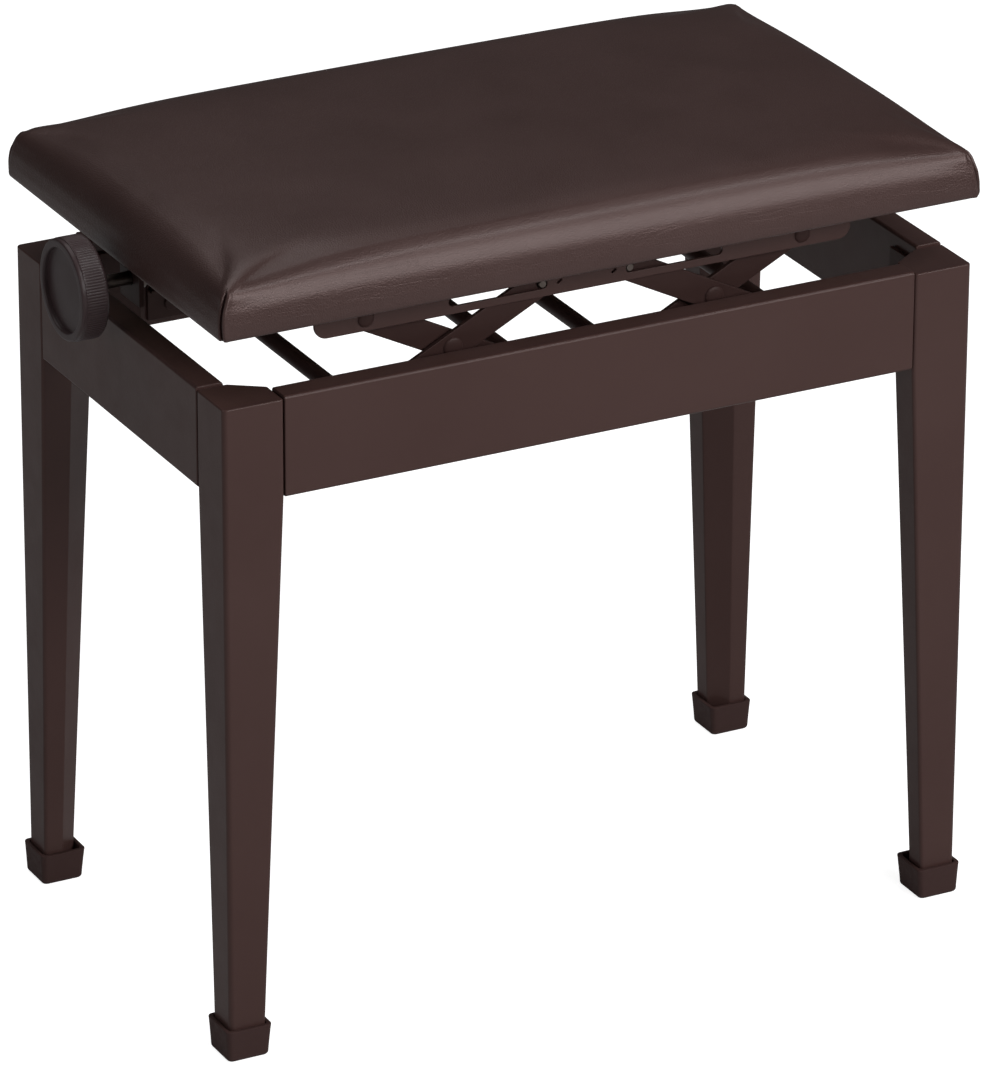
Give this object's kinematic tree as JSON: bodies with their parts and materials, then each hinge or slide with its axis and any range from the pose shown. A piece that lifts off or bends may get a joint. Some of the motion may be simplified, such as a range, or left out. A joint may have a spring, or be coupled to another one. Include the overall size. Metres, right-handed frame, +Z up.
{
  "type": "piano bench",
  "caption": "Piano bench with a tapered-leg tube frame, a padded vinyl seat and a scissor lift worked by a side knob and a lead screw",
  "frame": {"origin": "on the floor, under the middle of the whole bounding box, knob included, with the seat at its lowest", "axes": "+X along the long side away from the knob, +Y towards the back long side, +Z up"},
  "size_m": [0.5182, 0.2902, 0.49],
  "materials": {
    "frame_coat": "satin",
    "lift_coat": "satin",
    "plated_steel": "satin",
    "foot_rubber": "matte",
    "knob_plastic": "satin",
    "board_wood": "matte",
    "seat_cover": "satin"
  },
  "bodies": {
    "frame": {"leg_front_left": "frame_coat", "leg_front_right": "frame_coat", "leg_back_left": "frame_coat", "leg_back_right": "frame_coat", "foot_cap_front_left": "foot_rubber", "foot_cap_front_right": "foot_rubber", "foot_cap_back_left": "foot_rubber", "foot_cap_back_right": "foot_rubber", "rail_front": "frame_coat", "rail_back": "frame_coat", "rail_left": "frame_coat", "rail_right": "frame_coat", "corner_bracket_front_left": "lift_coat", "corner_bracket_front_right": "lift_coat", "corner_bracket_back_left": "lift_coat", "corner_bracket_back_right": "lift_coat", "corner_bolt_front_left": "plated_steel", "corner_bolt_front_right": "plated_steel", "corner_bolt_back_left": "plated_steel", "corner_bolt_back_right": "plated_steel", "base_track_front": "lift_coat", "base_track_back": "lift_coat", "pivot_bar_left": "lift_coat", "pivot_bar_right": "lift_coat"},
    "left_outer_arms": {"outer_arm_front_left": "lift_coat", "outer_arm_back_left": "lift_coat", "crossing_rivet_front_left": "lift_coat", "crossing_rivet_back_left": "lift_coat"},
    "left_inner_arms": {"inner_arm_front_left": "lift_coat", "inner_arm_back_left": "lift_coat", "slide_bar_left": "lift_coat"},
    "left_nut": {"cross_nut_left": "plated_steel"},
    "right_outer_arms": {"outer_arm_front_right": "lift_coat", "outer_arm_back_right": "lift_coat", "crossing_rivet_front_right": "lift_coat", "crossing_rivet_back_right": "lift_coat"},
    "right_inner_arms": {"inner_arm_front_right": "lift_coat", "inner_arm_back_right": "lift_coat", "slide_bar_right": "lift_coat"},
    "right_nut": {"cross_nut_right": "plated_steel"},
    "seat": {"seat_rail_front": "frame_coat", "seat_rail_back": "frame_coat", "seat_pivot_pin_front_left": "lift_coat", "seat_pivot_pin_front_right": "lift_coat", "seat_pivot_pin_back_left": "lift_coat", "seat_pivot_pin_back_right": "lift_coat", "seat_middle_plate": "lift_coat", "seat_strap_left": "lift_coat", "screw_bearing_left": "lift_coat", "seat_strap_right": "lift_coat", "screw_bearing_right": "lift_coat", "seat_board": "board_wood", "seat_pad": "seat_cover"},
    "screw": {"lead_screw": "plated_steel", "knob": "knob_plastic"}
  },
  "joints": [
    {"name": "seat_lift", "type": "hinge", "parent": "frame", "child": "left_outer_arms", "pos_m": [-0.12505, 0, 0.376], "axis": [0, -1, 0], "range_deg": [0, 37.07]},
    {"name": "left_crossing", "type": "hinge", "parent": "left_outer_arms", "child": "left_inner_arms", "pos_m": [-0.06905, 0, 0.4045], "axis": [0, -1, 0], "range_deg": [-74.25, 0]},
    {"name": "left_seat_pivot", "type": "hinge", "parent": "left_inner_arms", "child": "seat", "pos_m": [-0.12505, 0, 0.433], "axis": [0, -1, 0], "range_deg": [0, 37.12]},
    {"name": "left_nut_pivot", "type": "hinge", "parent": "left_outer_arms", "child": "left_nut", "pos_m": [-0.01305, 0, 0.433], "axis": [0, -1, 0], "range_deg": [-37.12, 0]},
    {"name": "right_lift", "type": "hinge", "parent": "frame", "child": "right_outer_arms", "pos_m": [0.15495, 0, 0.376], "axis": [0, 1, 0], "range_deg": [0, 37.12]},
    {"name": "right_crossing", "type": "hinge", "parent": "right_outer_arms", "child": "right_inner_arms", "pos_m": [0.09895, 0, 0.4045], "axis": [0, 1, 0], "range_deg": [-74.25, 0]},
    {"name": "right_nut_pivot", "type": "hinge", "parent": "right_outer_arms", "child": "right_nut", "pos_m": [0.04295, 0, 0.433], "axis": [0, 1, 0], "range_deg": [-37.12, 0]},
    {"name": "knob_turn", "type": "hinge", "parent": "seat", "child": "screw", "pos_m": [0.01495, 0, 0.433], "axis": [1, 0, 0], "range_deg": [0, 3602]}
  ],
  "couplings": [
    {"joint": "left_crossing", "follows": "seat_lift", "ratio": -2},
    {"joint": "left_seat_pivot", "follows": "seat_lift", "ratio": 1},
    {"joint": "left_nut_pivot", "follows": "seat_lift", "ratio": -1},
    {"joint": "right_lift", "follows": "seat_lift", "ratio": 1},
    {"joint": "right_crossing", "follows": "seat_lift", "ratio": -2},
    {"joint": "right_nut_pivot", "follows": "seat_lift", "ratio": -1},
    {"joint": "knob_turn", "follows": "seat_lift", "ratio": 97.106}
  ]
}
